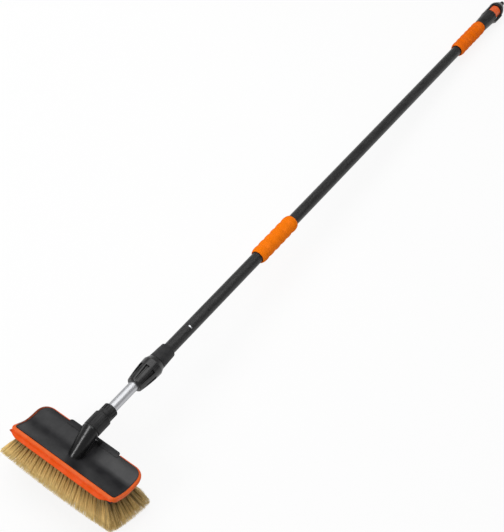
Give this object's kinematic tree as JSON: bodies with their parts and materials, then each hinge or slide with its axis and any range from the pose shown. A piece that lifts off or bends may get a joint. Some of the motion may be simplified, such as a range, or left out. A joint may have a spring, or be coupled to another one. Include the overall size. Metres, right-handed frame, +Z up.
{
  "type": "car wash brush",
  "caption": "Water-fed wash brush: wide fanned-bristle head with soft rim and lip on an angled neck, telescopic pole, foam grips, water valve and hose nipple.",
  "frame": {"origin": "middle of the bounding box's bottom, on the ground that the brush lies on", "axes": "+X along the head, +Y along the ground from the head to the hose nipple, +Z up"},
  "size_m": [0.2672, 1.7862, 0.1369],
  "materials": {
    "shell_plastic": "matte",
    "rim_rubber": "satin",
    "lip_rubber": "satin",
    "block_plastic": "matte",
    "seal_rubber": "matte",
    "screw_steel": "satin",
    "bristle_fibre": "satin",
    "collet_plastic": "satin",
    "nut_plastic": "satin",
    "bright_aluminium": "satin",
    "sleeve_plastic": "matte",
    "black_aluminium": "satin",
    "rivet_steel": "satin",
    "bright_foam": "matte",
    "deep_foam": "matte",
    "valve_plastic": "satin",
    "seat_ceramic": "matte",
    "pin_brass": "satin",
    "ring_plastic": "satin",
    "nipple_plastic": "satin"
  },
  "bodies": {
    "handle": {"outer_tube": "black_aluminium", "clamp_sleeve": "sleeve_plastic", "clamp_collet": "collet_plastic", "stop_rivet": "rivet_steel", "middle_grip": "bright_foam", "upper_grip": "deep_foam", "valve_body": "valve_plastic", "valve_seat": "seat_ceramic", "valve_flange": "valve_plastic", "hose_nipple": "nipple_plastic", "nipple_ring": "seal_rubber"},
    "telescope_nut": {"clamp_nut": "nut_plastic"},
    "inner_pole": {"inner_tube": "bright_aluminium", "guide_bush": "collet_plastic", "piston_rings": "seal_rubber"},
    "head": {"head_shell": "shell_plastic", "soft_rim": "rim_rubber", "wiper_lip": "lip_rubber", "bristle_block": "block_plastic", "block_gasket": "seal_rubber", "block_screws": "screw_steel", "bristles": "bristle_fibre", "neck_ring": "seal_rubber", "neck_collet": "collet_plastic"},
    "neck_nut": {"coupling_nut": "nut_plastic"},
    "water_valve": {"valve_ring": "ring_plastic", "drive_pin": "pin_brass", "valve_spool": "collet_plastic", "spool_rings": "seal_rubber"}
  },
  "joints": [
    {"name": "telescope_nut_turn", "type": "hinge", "parent": "handle", "child": "telescope_nut", "pos_m": [-0.009, -0.62089, 0.11009], "axis": [0, 0.9981, -0.0613], "range_deg": [0, 120]},
    {"name": "pole_slide", "type": "slide", "parent": "handle", "child": "inner_pole", "axis": [0, -0.9981, 0.0613], "range_m": [-0.064, 1.117]},
    {"name": "head_turn", "type": "hinge", "parent": "inner_pole", "child": "head", "pos_m": [-0.009, -0.76652, 0.11903], "axis": [0, 0.9981, -0.0613], "continuous": true},
    {"name": "neck_nut_turn", "type": "hinge", "parent": "head", "child": "neck_nut", "pos_m": [-0.009, -0.75664, 0.11842], "axis": [0, 0.9981, -0.0613], "range_deg": [0, 120]},
    {"name": "water_valve_turn", "type": "hinge", "parent": "handle", "child": "water_valve", "pos_m": [-0.009, 0.83282, 0.02082], "axis": [0, 0.9981, -0.0613], "range_deg": [0, 90]}
  ]
}
